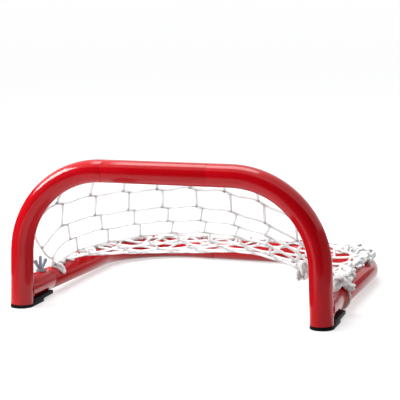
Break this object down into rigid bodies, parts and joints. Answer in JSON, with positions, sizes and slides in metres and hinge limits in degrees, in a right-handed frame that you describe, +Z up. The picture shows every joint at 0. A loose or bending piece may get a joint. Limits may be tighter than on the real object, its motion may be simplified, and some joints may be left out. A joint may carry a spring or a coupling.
{
  "type": "field hockey goal",
  "caption": "Small arched field hockey goal of bent steel tube with a lying U-shaped base, moulded feet and a hung mesh net.",
  "frame": {"origin": "on the ground, in the middle of the goal's overall width and depth", "axes": "+X across the mouth to the right as seen from in front, +Y from the mouth to the back of the goal, +Z up"},
  "size_m": [0.5625, 0.5238, 0.2546],
  "materials": {
    "red_paint": "glossy bright red powder coat on steel tube",
    "black_plastic": "moulded black plastic, fine matt grain",
    "zinc_plate": "bright zinc-plated steel",
    "white_twine": "white knotless polyethylene twine",
    "cream_cord": "off-white braided cord"
  },
  "bodies": {
    "frame": {"left_post": "red_paint", "crossbar": "red_paint", "right_post": "red_paint", "left_socket": "red_paint", "right_socket": "red_paint", "left_rail": "red_paint", "back_tube": "red_paint", "right_rail": "red_paint", "hoop_hook_1": "red_paint", "hoop_hook_2": "red_paint", "hoop_hook_3": "red_paint", "hoop_hook_4": "red_paint", "hoop_hook_5": "red_paint", "back_hook_1": "red_paint", "back_hook_2": "red_paint", "back_hook_3": "red_paint", "back_hook_4": "red_paint", "back_hook_5": "red_paint", "left_rail_hook_1": "red_paint", "left_rail_hook_2": "red_paint", "left_rail_hook_3": "red_paint", "right_rail_hook_1": "red_paint", "right_rail_hook_2": "red_paint", "right_rail_hook_3": "red_paint", "left_foot": "black_plastic", "right_foot": "black_plastic", "left_bolt": "zinc_plate", "right_bolt": "zinc_plate", "left_washer": "zinc_plate", "right_washer": "zinc_plate", "net": "white_twine", "left_tie_cord": "cream_cord", "right_tie_cord": "cream_cord"},
    "left_nut": {"left_wing_nut": "zinc_plate"},
    "right_nut": {"right_wing_nut": "zinc_plate"}
  },
  "joints": [
    {"name": "left_nut_turn", "type": "hinge", "parent": "frame", "child": "left_nut", "pos_m": [-0.25844, -0.17004, 0.04854], "axis": [0, 0.0202, 0.9998], "continuous": true},
    {"name": "right_nut_turn", "type": "hinge", "parent": "frame", "child": "right_nut", "pos_m": [0.25844, -0.17004, 0.04854], "axis": [0, 0.0202, 0.9998], "continuous": true}
  ]
}
